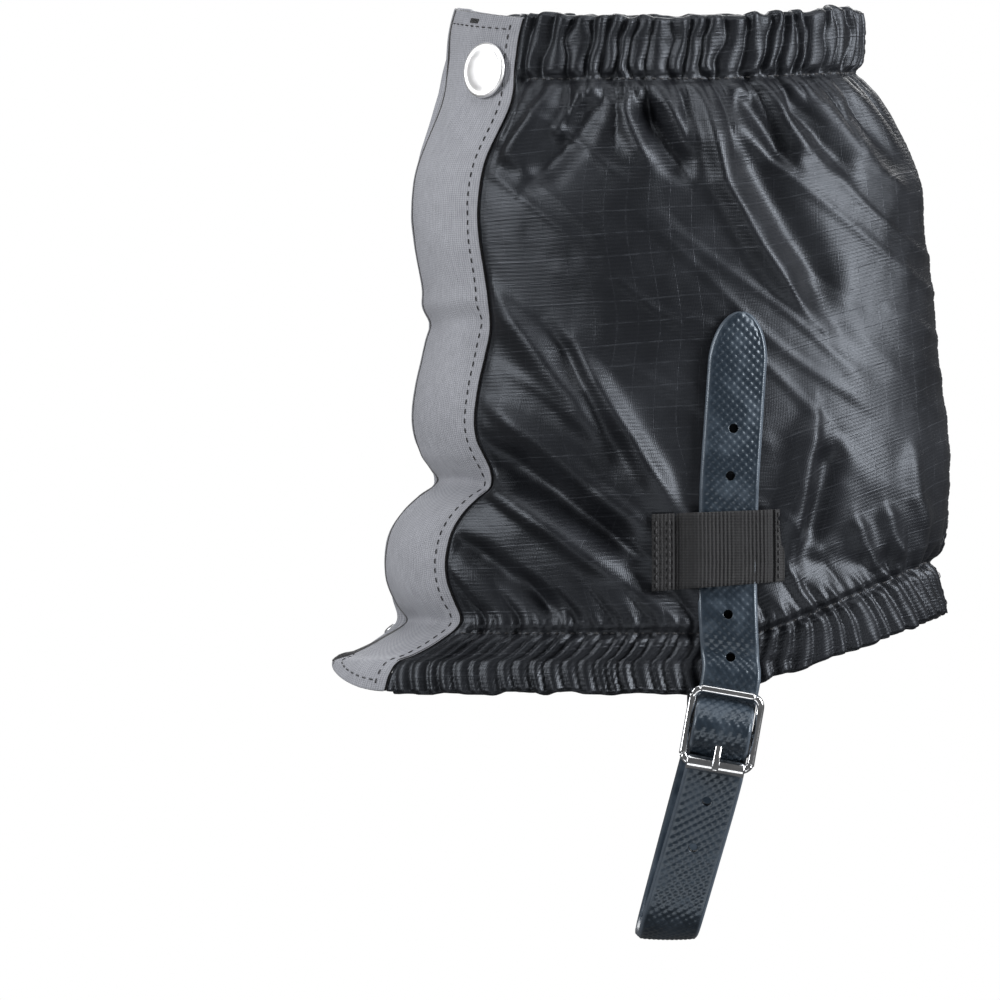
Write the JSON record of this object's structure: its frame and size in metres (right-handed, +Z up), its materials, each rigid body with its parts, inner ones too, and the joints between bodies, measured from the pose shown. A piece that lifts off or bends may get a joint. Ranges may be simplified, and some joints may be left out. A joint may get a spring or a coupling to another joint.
{
  "type": "ankle gaiter",
  "caption": "Short black fabric gaiter for a hiking boot, with elastic hems, a grey hook-and-loop front strip, a snap and a buckled rubber strap that runs under the sole.",
  "frame": {"origin": "on the leg's axis at the level of the lower hem's lowest line, in the middle of the shell's length at the top hem", "axes": "+Z up the leg, -X towards the toe, -Y towards the outer side of the left foot, where the buckle is"},
  "size_m": [0.1929, 0.1252, 0.288],
  "materials": {
    "shell": "ripstop nylon, slight sheen",
    "strip": "grey woven nylon, matt",
    "seam_tape": "woven tape",
    "elastic": "knitted elastic",
    "hook_and_loop": "hook-and-loop tape",
    "webbing": "ribbed webbing",
    "strap_rubber": "embossed coated strap, satin",
    "buckle_metal": "bright nickel plate",
    "snap_metal": "satin nickel plate",
    "steel": "nickel-plated steel"
  },
  "bodies": {
    "gaiter": {"lateral_panel": "shell", "medial_panel": "shell", "rear_seam_tape": "seam_tape", "top_hem_facing": "shell", "top_elastic": "elastic", "bottom_hem_facing": "shell", "bottom_elastic": "elastic", "underlap": "strip", "underlap_hook_tape": "hook_and_loop", "snap_stud": "steel", "snap_post": "steel", "lace_hook": "steel", "lace_hook_rivet": "steel", "webbing_keeper": "webbing", "strap_middle": "strap_rubber", "anchor_tab": "webbing", "medial_tab": "webbing", "strap_rivet": "steel", "rivet_burr": "steel"},
    "flap": {"front_flap": "strip", "flap_loop_tape": "hook_and_loop", "snap_cap": "snap_metal", "snap_socket": "steel"},
    "strap_end": {"strap_tip": "strap_rubber"},
    "foot_strap": {"strap_loop": "strap_rubber", "buckle_frame": "buckle_metal", "anchor_loop": "webbing"},
    "roller": {"buckle_roller": "buckle_metal"},
    "prong": {"buckle_prong": "buckle_metal"}
  },
  "joints": [
    {"name": "flap_open", "type": "hinge", "parent": "gaiter", "child": "flap", "pos_m": [-0.0555, -0.0405, 0.02], "axis": [0.0679, 0.0235, 0.9974], "range_deg": [0, 90]},
    {"name": "strap_end_lift", "type": "hinge", "parent": "gaiter", "child": "strap_end", "pos_m": [0.02117, -0.05926, 0.0579], "axis": [0.9933, 0.1158, 0], "range_deg": [0, 60], "stiffness_Nm_per_rad": 0.006},
    {"name": "foot_strap_sway", "type": "hinge", "parent": "gaiter", "child": "foot_strap", "pos_m": [0.01875, 0, -0.012], "axis": [0, 1, 0], "range_deg": [-15, 15]},
    {"name": "prong_pivot", "type": "hinge", "parent": "foot_strap", "child": "prong", "pos_m": [0.01875, -0.0598, -0.012], "axis": [-0.9848, 0, 0.1736], "range_deg": [0, 20]},
    {"name": "roller_spin", "type": "hinge", "parent": "foot_strap", "child": "roller", "pos_m": [0.01681, -0.0598, -0.02303], "axis": [0.9848, 0, -0.1736], "continuous": true}
  ]
}
